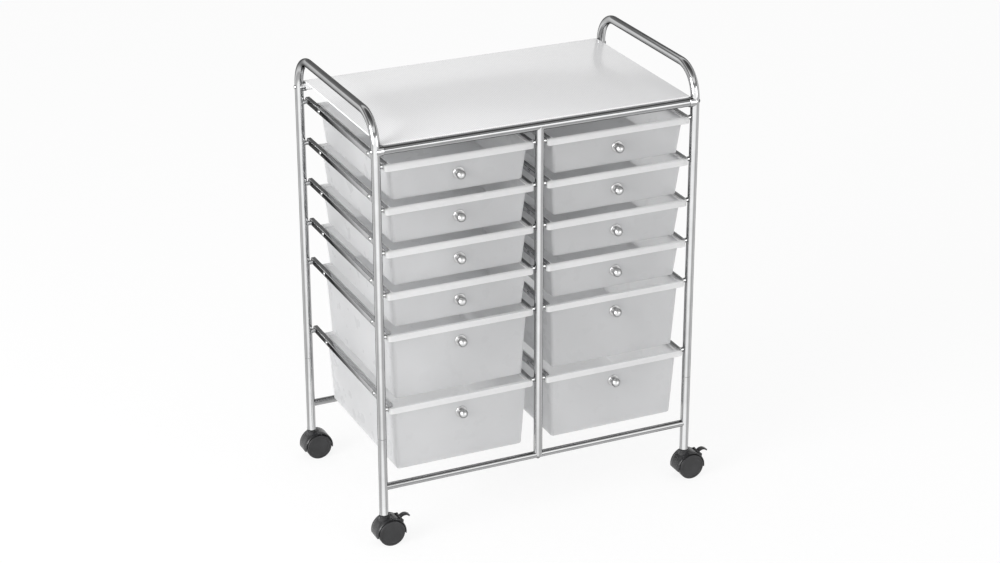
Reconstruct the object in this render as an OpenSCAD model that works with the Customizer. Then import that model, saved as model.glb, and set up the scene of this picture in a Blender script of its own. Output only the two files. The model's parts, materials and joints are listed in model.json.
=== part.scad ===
// Rolling utility cart: a chromed tube frame with a panel top, two columns of six
// drawers that slide in channel runners, and four twin-wheel swivel casters.
// Millimetres, +Z up. The front faces -Y. The origin is on the floor, under the
// middle of the whole cart's box seen from above.

/* [Frame] */
// Distance between the left and right post axes
post_spacing_x = 618; // [560:1:680]
// Distance between the front and rear post axes
post_spacing_y = 375; // [365:1:440]
// Height of the handle tube's axis
handle_z = 820; // [810:1:900]
// How far the handle's axis is above the shelf bars' axis
handle_rise = 60; // [56:1:64]
// Height of the bottom bar's axis
bottom_bar_z = 114; // [104:1:126]
// Height of the seam between hoop and leg
seam_z = 213; // [170:1:240]
// Height of the lower end of each leg
leg_z = 59; // [59:0.5:66]
// Outer radius of posts, handles and shelf bars
tube_r = 8; // [7.5:0.1:8.5]
// Wall of the posts, handles and bars
tube_wall = 1.2; // [0.8:0.1:1.6]
// Chamfer at the top of each leg, which shows as the seam
seam_chamfer = 0.5; // [0.2:0.1:1]
// Radius of the handle bends, on the tube's axis
bend_r = 55; // [40:1:75]
// Outer radius of the bottom bars
bottom_bar_r = 6.5; // [5:0.1:8]
// Length of the spigot that joins leg and hoop
spigot_length = 25; // [15:1:40]
// Gap between spigot and hoop bore
spigot_clearance = 0.05; // [0.02:0.01:0.2]

/* [Top panel] */
// Thickness of the panel
panel_t = 3; // [2:0.5:6]
// Gap between the panel's side edge and the post
panel_side_gap = 2; // [1:0.5:6]
// Depth of the lips under the panel, behind the bars
panel_lip_h = 12; // [6:1:14]
// Thickness of those lips
panel_lip_t = 2; // [1:0.5:3]

/* [Screws and collars] */
// Gap between a collar or spacer and the post that it sits on
seat_gap = 0.1; // [0.05:0.05:0.2]
// Radius of the shank of a frame screw
screw_r = 2.5; // [2:0.1:3]
// Gap between a frame screw and its holes
screw_clearance = 0.1; // [0.05:0.05:0.3]
// Radius of a screw's domed head
screw_head_r = 3.8; // [3.4:0.1:5]
// Height of a screw's domed head
screw_head_h = 2.4; // [1.5:0.1:3]
// Length of the solid plug in the end of a bar or centre post
end_plug_length = 14; // [10:1:25]
// Wall of the saddle collar at a shelf bar's end
collar_wall = 1.4; // [0.8:0.1:2]
// Length of that collar
collar_length = 5; // [3:0.5:8]
// Gap between a collar and the notch in the panel's corner
collar_gap = 0.3; // [0.2:0.1:1]

/* [Runners] */
// How far the uppermost runner's middle is below the shelf bars' axis
first_runner_drop = 30; // [27:1:33]
// Gap between a post and the runner's web
web_gap = 5; // [3:0.5:7]
// Height of the runner's channel
channel_h = 12; // [11.5:0.1:13]
// Width of the runner's flanges
channel_w = 8.4; // [7.5:0.1:10]
// Sheet thickness of the channel
channel_t = 1.2; // [0.8:0.1:1.4]
// How far a runner passes the post axis at the front
runner_front = 1.5; // [0:0.5:3]
// How far a runner passes the post axis at the back
runner_back = 5.5; // [2:0.5:8]
// Radius of the spacer between post and runner
spacer_r = 4.5; // [3:0.5:5]
// Distance from the runner's front end to the front rivet
front_rivet_inset = 73; // [40:1:120]
// Distance from the runner's back end to the back rivet
back_rivet_inset = 70; // [40:1:120]
// Radius of a rivet head
rivet_r = 4.5; // [2:0.5:5]
// Height of a rivet head
rivet_h = 1.5; // [0.5:0.1:2]

/* [Drawers] */
// Depth of a deep drawer, from its rim top to its underside; the shallow ones share the rest
deep_h = 131; // [120:1:134]
// Clear height between a deep drawer's underside and the rim below it
deep_gap = 11; // [8:0.5:14]
// Clear height between a shallow drawer's underside and the rim below it
shallow_gap = 10; // [8:0.5:14]
// Clear height between the lowest drawer's underside and the bottom bars
lowest_gap = 20.6; // [10:0.1:30]
// Wall of a drawer
bin_wall = 2.2; // [1.5:0.1:3]
// Floor of a drawer
bin_floor = 2.5; // [1.5:0.1:4]
// How far the front lip stands ahead of the post axis
lip_ahead = 8.5; // [7:0.5:14]
// Height of the front lip
lip_h = 12; // [9:0.5:14]
// How far the lip stands ahead of the front wall
lip_overhang = 5.5; // [4:0.5:6]
// Length of a drawer's body along its rim
body_length = 340; // [300:1:345]
// How far the rim stands behind the rear wall
rear_overhang = 11; // [6:1:16]
// Thickness of the rim's top plate
rim_plate_t = 2.4; // [1.5:0.1:4]
// Thickness of the rim's outer skirt
rim_skirt_t = 1.8; // [1.2:0.1:3]
// Gap between the side rim and the runner's web
rim_side_gap = 1; // [0.5:0.1:1.5]
// Gap between the side rim and the runner's lower flange
rim_run_gap = 0.3; // [0.2:0.05:0.5]
// Gap between the side rim and the runner's upper flange
rim_top_gap = 0.7; // [0.4:0.1:1.2]
// Gap between the closed lip and the runner's front end
lip_stop_gap = 0.5; // [0.3:0.1:1]
// Gap between the body's side and the runner's flanges
body_gap = 2.5; // [2:0.1:5]
// How far the side wall leans in from rim to floor
side_draft = 6.5; // [2:0.1:9]
// How far the front wall leans in from rim to floor
front_draft = 8; // [2:0.5:10]
// How far the rear wall leans in from rim to floor
rear_draft = 9; // [2:0.5:14]
// Corner radius of the body, seen from above
body_corner_r = 6.5; // [6:0.5:20]
// Corner radius of the rim, seen from above
rim_corner_r = 6; // [3:1:8]
// Size of the rounding under the body
foot_round = 2.5; // [2:0.5:8]

/* [Knobs] */
// Distance from the rim top down to the knob
knob_drop = 37; // [30:1:42]
// Radius of the ball
ball_r = 8.2; // [7:0.1:10]
// Distance from the wall to the ball's centre
ball_reach = 9.5; // [8:0.1:12]
// Radius of the round foot
foot_r = 11; // [8:0.5:13]
// Thickness of the round foot
foot_t = 1.8; // [1:0.1:3]
// Radius of the neck between foot and ball
neck_r = 4.6; // [4:0.1:6]
// Radius of the knob's screw
knob_screw_r = 1.95; // [1.5:0.05:2.4]
// Gap round the knob's screw
knob_screw_gap = 0.05; // [0.02:0.01:0.2]
// Radius of that screw's head, inside the drawer
knob_head_r = 4; // [3:0.1:5]
// Height of that screw's head
knob_head_h = 2.4; // [1.5:0.1:3]
// How much deeper the knob's bore is than its screw
knob_bore_spare = 0.5; // [0.2:0.1:1]

/* [Casters] */
// Radius of a wheel
wheel_r = 25; // [23:0.5:25]
// Width of one wheel
wheel_w = 13.5; // [11:0.5:16]
// Half of the clear width between the two wheels
wheel_inner_y = 5.5; // [5.2:0.1:7]
// Gap between a wheel and the housing's web
wheel_side_gap = 0.3; // [0.2:0.05:0.5]
// Rounding of a wheel's edges
wheel_edge_r = 2; // [1:0.5:3]
// Thickness of a wheel's tread ring, round the hollow in its inner face
wheel_rim_t = 5; // [3:0.5:8]
// Material of a wheel round the axle
wheel_hub_t = 3.5; // [2:0.5:6]
// Width of the raised edge round a wheel's outer face
wheel_face_inset = 4; // [3:0.5:8]
// Depth of a wheel's outer face inside that edge
wheel_face_depth = 0.6; // [0.3:0.1:1.5]
// Distance from the swivel axis to the wheel axle
trail = 9; // [7:0.5:11]
// Radius of the axle
axle_r = 3; // [2.5:0.1:3.5]
// Radial gap between axle and wheel bore
axle_clearance = 0.06; // [0.02:0.01:0.1]
// Thickness of a wheel's outer cap over the axle end
wheel_cap_t = 2; // [1:0.5:3]
// Gap between wheel and hood
hood_gap = 1.5; // [1.2:0.1:2]
// Thickness of the hood at the height of the axle
hood_t = 2.5; // [2.2:0.1:3.5]
// How far the middle of the hood's outer arc is below the axle
hood_drop = 1.2; // [0:0.1:1.5]
// Half of the hood's width
hood_half_w = 17.5; // [16:0.5:18.5]
// Rounding of the hood's shoulders
hood_shoulder_r = 3; // [2.5:0.5:5]
// Height above the axle at which the cuts at the hood's ends meet
hood_cut_rise = 15; // [8:1:20]
// Radius of the web's boss round the axle
web_boss_r = 8; // [6:0.5:12]
// How far the housing's head is wider than the leg
head_margin = 1; // [0:0.5:2]
// Radius of the stem
stem_r = 4; // [3.5:0.1:4.2]
// Material of the housing ahead of and behind the stem
stem_wall = 1.2; // [0.8:0.1:2]
// Radial gap between stem and socket
stem_clearance = 0.06; // [0.02:0.01:0.1]
// Length of the stem above the leg's lower end
stem_length = 34; // [25:1:45]
// Height of the stem's lower end above the floor
stem_foot_z = 36; // [34:1:40]
// Thickness of the socket's flange
socket_flange_t = 1.5; // [1:0.1:2]
// Gap between the socket's flange and the housing
swivel_gap = 0.4; // [0.2:0.1:0.8]

/* [Brake levers] */
// Distance from the wheel's tread to the middle of the lever's pivot
pivot_height = 4; // [3.8:0.1:4.4]
// Direction of the pivot from the axle, above the horizontal
pivot_angle = 44; // [40:1:50]
// Radius of the lever's boss
lever_boss_r = 3; // [2.5:0.1:3.2]
// Radius of the lever's pin
lever_pin_r = 1.5; // [1.2:0.1:1.8]
// Radial gap between pin and ear
lever_pin_gap = 0.06; // [0.02:0.01:0.1]
// Material of the ear round the lever's boss
ear_rim = 0.6; // [0.3:0.1:1]
// Half of the width over both ears
ear_half_w = 14; // [13:0.5:15]
// Thickness of each ear
ear_t = 2; // [1.5:0.1:2.5]
// Distance from the pivot to the middle of the brake shoe
shoe_reach = 2.8; // [2.4:0.1:2.8]
// Radius of the brake shoe
shoe_r = 1.5; // [1.2:0.1:1.5]
// Angle between the shoe and the line to the axle while the lever is open
shoe_angle = 60; // [58:1:70]
// Turn of the lever from open to pressed
brake_turn = 22; // [15:1:22]
// Width of the foot tab
tab_w = 11; // [8:1:20]
// Thickness of the foot tab
tab_t = 2.6; // [1.5:0.1:3]
// How far the bead along the tab's end stands out of its faces
tab_bead = 0.3; // [0.2:0.1:0.8]
// Radius of the tab's curve
tab_curve_r = 11.5; // [10:0.5:14]
// Direction in which the tab's curve starts, above the horizontal
tab_start_angle = 148; // [140:1:155]
// Turn of the tab's curve
tab_curve_turn = 110; // [90:1:120]

/* [Hidden] */
$fn = 48;
eps = 0.01;
over = 1;

levels = [1, 2, 3, 4, 5, 6];
shallow_levels = 4;
half_x = post_spacing_x / 2;
half_y = post_spacing_y / 2;
shelf_z = handle_z - handle_rise;
column_w = half_x;
column_x = column_w / 2;
bore_r = tube_r - tube_wall;
collar_r = tube_r + collar_wall;
collar_x = half_x - tube_r - collar_length;

web_x = tube_r + web_gap;
runner_y0 = -half_y - runner_front;
runner_y1 = half_y + runner_back;

// Drawer sizes, from the column width and the runners
lip_y = -half_y - lip_ahead;
lip_half = column_w / 2 - web_x;
rim_half = lip_half - channel_t - rim_side_gap;
body_half = lip_half - channel_w - body_gap;
rim_bottom = -channel_h / 2 + channel_t + rim_run_gap;
rim_top = channel_h / 2 - channel_t - rim_top_gap;
rim_h = rim_top - rim_bottom;
lip_t = runner_y0 - lip_stop_gap - lip_y;
rim_length = lip_overhang + body_length + rear_overhang;
foot_inset = 0.7 * foot_round;

// Heights of the levels: the shallow drawers share what the deep ones leave under the shelf bars
deep_pitch = deep_h + deep_gap;
last_runner_z = bottom_bar_z + bottom_bar_r + lowest_gap + deep_h - rim_top;
first_runner_z = shelf_z - first_runner_drop;
shallow_pitch = (first_runner_z - last_runner_z - deep_pitch) / shallow_levels;
shallow_h = shallow_pitch - shallow_gap;

// Caster sizes, from the wheels
axle_z = wheel_r;
web_half = wheel_inner_y - wheel_side_gap;
hood_in_r = wheel_r + hood_gap;
hood_out_r = hood_in_r + hood_t;
wheel_outer_y = wheel_inner_y + wheel_w;
axle_half = wheel_outer_y - wheel_cap_t - wheel_side_gap;
housing_top = leg_z - socket_flange_t - swivel_gap;
ear_y = ear_half_w - ear_t;
lever_half = ear_y - 2 * wheel_side_gap;
pivot = [trail, axle_z] + polar(wheel_r + pivot_height, pivot_angle);
tab_bead_r = tab_t / 2 + tab_bead;
tab_end_angle = tab_start_angle - tab_curve_turn;
tab_end = pivot - polar(tab_curve_r, tab_start_angle) + polar(tab_curve_r, tab_end_angle);
hood_front_angle = -12;
hood_back_angle = 192;
web_back_angle = 122;
window_half_angle = 10;

// Middle of the whole cart's box, seen from above, counted from the middle of the frame
box_left = -half_x - max(tube_r + screw_head_h, hood_out_r - trail);
box_right = half_x + max(tube_r + screw_head_h, tab_end[0] + tab_bead_r);
box_front = -max(half_y + wheel_outer_y, -lip_y - knob_front(shallow_h), -lip_y - knob_front(deep_h));
box_rear = half_y + wheel_outer_y;
box_middle = [(box_left + box_right) / 2, (box_front + box_rear) / 2];

chrome = "silver";
clear_plastic = "#e6ebee";
black_plastic = "#2b2b2e";

// Height of a level's runner, counted from the top
function level_z(level) =
    first_runner_z - min(level - 1, shallow_levels) * shallow_pitch
    - max(level - 1 - shallow_levels, 0) * deep_pitch;

function level_h(level) = level <= shallow_levels ? shallow_h : deep_h;

function polar(r, angle) = [r * cos(angle), r * sin(angle)];

// Lean of a drawer's front wall, from upright
function front_lean(height) = atan(front_draft / height);

// Where the front wall's face is behind the lip, at the knob
function knob_wall(height) = lip_overhang + front_draft * knob_drop / height;

// Where the ball's foremost point is, counted back from the lip's front face
function knob_front(height) = knob_wall(height) - ball_reach * cos(front_lean(height)) - ball_r;

// Basic shapes

// Moves the middle of the whole cart's box onto the Z axis
module centred() {
    translate([-box_middle[0], -box_middle[1], 0]) children();
}

module rod_x(r, x0, x1) {
    translate([x0, 0, 0]) rotate([0, 90, 0]) cylinder(h = x1 - x0, r = r);
}

module rod_y(r, y0, y1) {
    translate([0, y0, 0]) rotate([-90, 0, 0]) cylinder(h = y1 - y0, r = r);
}

module rod_z(r, z0, z1) {
    translate([0, 0, z0]) cylinder(h = z1 - z0, r = r);
}

module rounded_rect(x0, y0, x1, y1, r) {
    translate([x0 + r, y0]) square([x1 - x0 - 2 * r, y1 - y0]);
    translate([x0, y0 + r]) square([x1 - x0, y1 - y0 - 2 * r]);
    for (x = [x0 + r, x1 - r], y = [y0 + r, y1 - r]) translate([x, y]) circle(r);
}

// Wedge between two angles, read off at a radius; its sides meet at a height above the middle
module wedge(r, a0, a1, rise = 0) {
    tip = [0, rise];
    polygon([tip, for (share = [0:0.25:1]) tip + 3 * (polar(r, a0 + share * (a1 - a0)) - tip)]);
}

module ring_sector(r_in, r_out, a0, a1) {
    intersection() {
        difference() {
            circle(r_out);
            circle(r_in);
        }
        wedge(r_out, a0, a1);
    }
}

// Extrudes a side view (x to the right, z up) to both sides of y = 0
module side_view(half_w) {
    rotate([90, 0, 0]) linear_extrude(height = 2 * half_w, center = true) children();
}

// Frame

module hoop_rod(r) {
    straight_y = half_y - bend_r;
    straight_z = handle_z - bend_r;
    for (s = [-1, 1]) scale([1, s, 1]) {
        translate([0, half_y, 0]) rod_z(r, seam_z - over, straight_z);
        translate([0, straight_y, straight_z]) rotate([90, 0, 90])
            rotate_extrude(angle = 90) translate([bend_r, 0]) circle(r);
    }
    translate([0, 0, handle_z]) rod_y(r, -straight_y, straight_y);
}

module hoop(side) {
    color(chrome) centred()
    translate([side * half_x, 0, 0])
    difference() {
        hoop_rod(tube_r);
        hoop_rod(bore_r);
        translate([-2 * tube_r, -post_spacing_y, seam_z - 2 * over])
            cube([4 * tube_r, 2 * post_spacing_y, 2 * over]);
        for (s = [-1, 1]) translate([0, s * half_y, shelf_z])
            rod_x(screw_r + screw_clearance, -2 * tube_r, 2 * tube_r);
    }
}

module leg(side, end) {
    spigot_r = bore_r - spigot_clearance;
    color(chrome) centred()
    translate([side * half_x, end * half_y, 0])
    difference() {
        union() {
            rod_z(tube_r, leg_z, seam_z - seam_chamfer);
            translate([0, 0, seam_z - seam_chamfer])
                cylinder(h = seam_chamfer, r1 = tube_r, r2 = tube_r - seam_chamfer);
            rod_z(spigot_r, seam_z - over, seam_z + spigot_length);
        }
        rod_z(bore_r, leg_z - over, seam_z - spigot_length);
        rod_z(spigot_r - tube_wall, leg_z, seam_z + spigot_length + over);
    }
}

module corner_posts(r) {
    for (sx = [-1, 1], sy = [-1, 1]) translate([sx * half_x, sy * half_y, 0]) rod_z(r, 0, handle_z);
}

module shelf_bar(end) {
    plug_x = half_x - tube_r - end_plug_length;
    color(chrome) centred()
    difference() {
        translate([0, end * half_y, shelf_z]) rod_x(tube_r, -half_x, half_x);
        translate([0, end * half_y, shelf_z]) rod_x(bore_r, -plug_x, plug_x);
        translate([0, end * half_y, shelf_z]) rod_x(screw_r, -half_x, half_x);
        corner_posts(tube_r);
    }
}

module bottom_bar(end) {
    color(chrome) centred()
    difference() {
        translate([0, end * half_y, bottom_bar_z]) rod_x(bottom_bar_r, -half_x, half_x);
        translate([0, end * half_y, bottom_bar_z]) rod_x(bottom_bar_r - tube_wall, -half_x, half_x);
        corner_posts(tube_r);
        translate([0, end * half_y, 0])
            rod_z(screw_r + screw_clearance, bottom_bar_z - tube_r, bottom_bar_z + tube_r);
    }
}

module centre_post(end) {
    plug_z = bottom_bar_z + bottom_bar_r + end_plug_length;
    color(chrome) centred()
    difference() {
        translate([0, end * half_y, 0]) rod_z(tube_r, bottom_bar_z, shelf_z);
        translate([0, end * half_y, 0]) rod_z(bore_r, plug_z, shelf_z);
        translate([0, end * half_y, 0]) rod_z(screw_r, bottom_bar_z, plug_z + over);
        translate([0, end * half_y, bottom_bar_z]) rod_x(bottom_bar_r, -column_w, column_w);
        translate([0, end * half_y, shelf_z]) rod_x(tube_r, -column_w, column_w);
    }
}

module top_panel() {
    half_w = half_x - tube_r - panel_side_gap;
    bottom = shelf_z + tube_r;
    lip_outer_y = half_y - tube_r;
    color("white") centred() difference() {
        union() {
            translate([-half_w, -half_y, bottom]) cube([2 * half_w, post_spacing_y, panel_t]);
            for (y = [-lip_outer_y, lip_outer_y - panel_lip_t])
                translate([-half_w, y, bottom - panel_lip_h])
                    cube([2 * half_w, panel_lip_t, panel_lip_h + eps]);
        }
        // Notches round the collars
        for (sx = [-1, 1], sy = [-1, 1]) translate([sx * half_x, sy * half_y, shelf_z])
            rod_x(collar_r + collar_gap, collar_x - half_x - collar_gap, half_x - collar_x + collar_gap);
    }
}

// A screw along +Z: a domed head from z = 0 up, and a shank below it
module frame_screw(shank_length) {
    dome_r = (screw_head_r * screw_head_r + screw_head_h * screw_head_h) / (2 * screw_head_h);
    intersection() {
        translate([0, 0, screw_head_h - dome_r]) sphere(dome_r);
        rod_z(screw_head_r, 0, dome_r);
    }
    rod_z(screw_r - eps, -shank_length, eps);
}

module frame_fasteners() {
    color(chrome) centred() {
        // Screws through the corner posts into the shelf bars
        for (sx = [-1, 1], sy = [-1, 1])
            translate([sx * (half_x + tube_r), sy * half_y, shelf_z]) rotate([0, sx * 90, 0])
                frame_screw(2 * tube_r + end_plug_length);
        // Screws through the bottom bars into the centre posts
        for (sy = [-1, 1])
            translate([0, sy * half_y, bottom_bar_z - bottom_bar_r]) rotate([180, 0, 0])
                frame_screw(2 * bottom_bar_r + end_plug_length);
        // Saddle collars round the ends of the shelf bars
        for (sx = [-1, 1], sy = [-1, 1]) translate([0, sy * half_y, 0]) difference() {
            translate([0, 0, shelf_z])
                rod_x(collar_r, min(sx * collar_x, sx * half_x), max(sx * collar_x, sx * half_x));
            translate([0, 0, shelf_z]) rod_x(tube_r, -half_x - over, half_x + over);
            translate([sx * half_x, 0, 0]) rod_z(tube_r + seat_gap, leg_z, handle_z);
        }
        // Spacers between the posts and the runners
        translate([-half_x, 0, 0]) spacer_stack();
        for (s = [-1, 1]) scale([s, 1, 1]) spacer_stack();
        scale([-1, 1, 1]) translate([-half_x, 0, 0]) spacer_stack();
    }
}

// One runner beside a post axis at x = 0, with its channel open towards +X
module runner() {
    runner_length = runner_y1 - runner_y0;
    translate([web_x, runner_y0, -channel_h / 2]) difference() {
        cube([channel_w, runner_length, channel_h]);
        translate([channel_t, -over, channel_t])
            cube([channel_w, runner_length + 2 * over, channel_h - 2 * channel_t]);
    }
    for (y = [runner_y0 + front_rivet_inset, runner_y1 - back_rivet_inset])
        translate([0, y, 0]) rod_x(rivet_r, web_x - rivet_h, web_x + eps);
}

module runner_stack() {
    for (level = levels) translate([0, 0, level_z(level)]) runner();
}

// The front and rear spacers behind one runner
module spacers() {
    spacer_y = half_y - spacer_r + runner_front;
    for (s = [-1, 1]) difference() {
        translate([0, s * spacer_y, 0]) rod_x(spacer_r, 0, web_x);
        translate([0, s * half_y, 0]) rod_z(tube_r + seat_gap, -channel_h, channel_h);
    }
}

module spacer_stack() {
    for (level = levels) translate([0, 0, level_z(level)]) spacers();
}

module runners_left() {
    color(chrome) centred() translate([-half_x, 0, 0]) runner_stack();
}

module runners_centre() {
    color(chrome) centred() for (s = [-1, 1]) scale([s, 1, 1]) runner_stack();
}

module runners_right() {
    color(chrome) centred() scale([-1, 1, 1]) translate([-half_x, 0, 0]) runner_stack();
}

// Drawers. A bin's own origin is the middle of its lip's front face, at the rim top.

// One level outline of the body, at a depth under the rim, drawn in by an inset
module body_slice(height, depth, inset) {
    share = depth / height;
    side = body_half - side_draft * share - inset;
    front = lip_overhang + front_draft * share + inset;
    back = lip_overhang + body_length - rear_draft * share - inset;
    translate([0, 0, -depth]) linear_extrude(height = eps)
        rounded_rect(-side, front, side, back, max(body_corner_r - inset, body_corner_r / 3), $fn = 32);
}

module bin(height) {
    floor_depth = height - bin_floor;
    difference() {
        union() {
            hull() {
                body_slice(height, eps, 0);
                body_slice(height, height - foot_round, 0);
                body_slice(height, height, foot_inset);
            }
            difference() {
                union() {
                    translate([0, 0, -rim_h]) linear_extrude(height = rim_h)
                        rounded_rect(-rim_half, 0, rim_half, rim_length, rim_corner_r);
                    translate([0, 0, -lip_h]) linear_extrude(height = lip_h) intersection() {
                        rounded_rect(-lip_half, 0, lip_half, rim_length, rim_corner_r);
                        translate([-lip_half, 0]) square([2 * lip_half, lip_t]);
                    }
                }
                translate([0, 0, -rim_plate_t - lip_h]) linear_extrude(height = lip_h)
                    rounded_rect(-rim_half + rim_skirt_t, rim_skirt_t,
                        rim_half - rim_skirt_t, rim_length - rim_skirt_t, rim_corner_r - rim_skirt_t);
            }
        }
        hull() {
            body_slice(height, -over, bin_wall);
            body_slice(height, floor_depth - foot_round, bin_wall);
            body_slice(height, floor_depth, bin_wall + foot_inset);
        }
        at_knob(height) rod_z(knob_screw_r + knob_screw_gap, -3 * bin_wall, 3 * bin_wall);
    }
}

// Places a shape on the front wall where the knob is, with +Z out of the wall
module at_knob(height) {
    translate([0, knob_wall(height), -knob_drop]) rotate([90 + front_lean(height), 0, 0]) children();
}

// A knob and its screw, two solids
module knob_set(height) {
    screw_tip = ball_reach;
    head_z = -bin_wall * cos(front_lean(height)) - knob_head_h;
    difference() {
        union() {
            rod_z(foot_r, 0, foot_t);
            rod_z(neck_r, 0, ball_reach);
            translate([0, 0, ball_reach]) sphere(ball_r);
        }
        rod_z(knob_screw_r + knob_screw_gap, -over, screw_tip + knob_bore_spare);
    }
    rod_z(knob_screw_r, head_z, screw_tip);
    rod_z(knob_head_r, head_z, head_z + knob_head_h);
}

module place_drawer(side, level) {
    centred() translate([side * column_x, lip_y, level_z(level) + rim_top]) children();
}

module drawer(side, level) {
    color(clear_plastic) place_drawer(side, level) bin(level_h(level));
}

module knob(side, level) {
    color(chrome) place_drawer(side, level) at_knob(level_h(level)) knob_set(level_h(level));
}

// Casters. A caster's own origin is on the floor, on its swivel axis.

module place_caster(side, end) {
    centred() translate([side * half_x, end * half_y, 0]) children();
}

module caster_sockets() {
    socket_top = leg_z + stem_length + over;
    color(black_plastic)
    for (side = [-1, 1], end = [-1, 1]) place_caster(side, end) difference() {
        union() {
            rod_z(tube_r, leg_z - socket_flange_t, leg_z);
            rod_z(bore_r, leg_z - eps, socket_top);
        }
        rod_z(stem_r + stem_clearance, 0, socket_top + over);
    }
}

// Hood over both wheels, with its ends cut on a slope
module hood() {
    shoulder_y = hood_half_w - hood_shoulder_r;
    shoulder_x = hood_out_r - hood_shoulder_r;
    translate([trail, 0, axle_z]) intersection() {
        difference() {
            translate([0, 0, -hood_drop]) rotate([90, 0, 0]) {
                rotate_extrude() translate([shoulder_x, shoulder_y]) circle(hood_shoulder_r);
                rotate_extrude() translate([shoulder_x, -shoulder_y]) circle(hood_shoulder_r);
                rod_z(hood_out_r, -shoulder_y, shoulder_y);
                rod_z(shoulder_x, -hood_half_w, hood_half_w);
            }
            rod_y(hood_in_r, -hood_half_w - over, hood_half_w + over);
        }
        side_view(hood_half_w + over) wedge(hood_out_r, hood_front_angle, hood_back_angle, hood_cut_rise);
    }
}

module housing(braked) {
    hole_reach = hood_half_w + over;
    window_out_r = hood_out_r + over;
    difference() {
        union() {
            hood();
            // Web between the wheels
            side_view(web_half) translate([trail, axle_z]) {
                circle(web_boss_r);
                ring_sector(0, hood_in_r + eps, 0, web_back_angle);
            }
            // Column round the stem
            side_view(web_half) translate([-stem_r - stem_wall, axle_z])
                square([2 * (stem_r + stem_wall), housing_top - axle_z]);
            // Round head under the leg, clear of the wheels
            intersection() {
                rod_z(tube_r + head_margin, axle_z, housing_top);
                side_view(hood_half_w) difference() {
                    translate([-hood_out_r, axle_z]) square(2 * hood_out_r);
                    translate([trail, axle_z]) circle(hood_in_r);
                }
            }
            if (braked) ears();
        }
        rod_z(stem_r, stem_foot_z, housing_top + over);
        translate([trail, 0, axle_z]) rod_y(axle_r, -hole_reach, hole_reach);
        if (braked) {
            // Window for the lever
            side_view(ear_y) translate([trail, axle_z]) ring_sector(wheel_r - over, window_out_r,
                pivot_angle - window_half_angle, pivot_angle + window_half_angle);
            translate([pivot[0], 0, pivot[1]])
                rod_y(lever_pin_r + lever_pin_gap, -hole_reach, hole_reach);
        }
    }
}

// Ears that carry the brake lever's pin, one at each side of the hood
module ears() {
    for (s = [-1, 1]) translate([0, s * (ear_half_w - ear_t / 2), 0]) side_view(ear_t / 2) difference() {
        translate(pivot) circle(lever_boss_r + ear_rim);
        translate([trail, axle_z]) circle(hood_in_r);
    }
}

module caster_housing(side, end, braked) {
    color(black_plastic) place_caster(side, end) housing(braked);
}

// Stem and axle, two solids held by the housing
module caster_pins(side, end) {
    color(chrome) place_caster(side, end) {
        rod_z(stem_r, stem_foot_z, leg_z + stem_length);
        translate([trail, 0, axle_z]) rod_y(axle_r, -axle_half, axle_half);
    }
}

// A wheel along +Z, with its inner face at z = 0
module wheel() {
    difference() {
        union() {
            rod_z(wheel_r - wheel_edge_r, 0, wheel_w);
            rod_z(wheel_r, wheel_edge_r, wheel_w - wheel_edge_r);
            for (z = [wheel_edge_r, wheel_w - wheel_edge_r]) translate([0, 0, z])
                rotate_extrude() translate([wheel_r - wheel_edge_r, 0]) circle(wheel_edge_r);
        }
        difference() {
            rod_z(wheel_r - wheel_rim_t, -over, wheel_w / 2);
            rod_z(axle_r + wheel_hub_t, -2 * over, wheel_w);
        }
        rod_z(axle_r + axle_clearance, -over, wheel_w - wheel_cap_t);
        rod_z(wheel_r - wheel_face_inset, wheel_w - wheel_face_depth, wheel_w + over);
    }
}

module caster_wheel(side, end, facing) {
    color(black_plastic) place_caster(side, end)
        translate([trail, facing * wheel_inner_y, axle_z]) rotate([-facing * 90, 0, 0]) wheel();
}

// Brake lever: boss and pin across the ears, a shoe over both wheels and a curved foot tab
module brake_lever() {
    translate([pivot[0], 0, pivot[1]]) {
        rod_y(lever_boss_r, -lever_half, lever_half);
        rod_y(lever_pin_r, -ear_half_w, ear_half_w);
        side_view(lever_half) rotate(pivot_angle + 180 + shoe_angle) {
            translate([shoe_reach, 0]) circle(shoe_r);
            translate([0, -shoe_r]) square([shoe_reach, 2 * shoe_r]);
        }
        side_view(tab_w / 2) translate(-polar(tab_curve_r, tab_start_angle)) {
            ring_sector(tab_curve_r - tab_t / 2, tab_curve_r + tab_t / 2, tab_end_angle, tab_start_angle);
            translate(polar(tab_curve_r, tab_end_angle)) circle(tab_bead_r);
        }
    }
}

module caster_brake(side) {
    color(black_plastic) place_caster(side, -1) brake_lever();
}

hoop(-1);  // hoop_left
hoop(1);  // hoop_right
leg(-1, -1);  // leg_front_left
leg(1, -1);  // leg_front_right
leg(-1, 1);  // leg_rear_left
leg(1, 1);  // leg_rear_right
centre_post(-1);  // post_centre_front
centre_post(1);  // post_centre_rear
shelf_bar(-1);  // shelf_bar_front
shelf_bar(1);  // shelf_bar_rear
bottom_bar(-1);  // bottom_bar_front
bottom_bar(1);  // bottom_bar_rear
top_panel();
runners_left();
runners_centre();
runners_right();
frame_fasteners();
caster_sockets();

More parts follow.
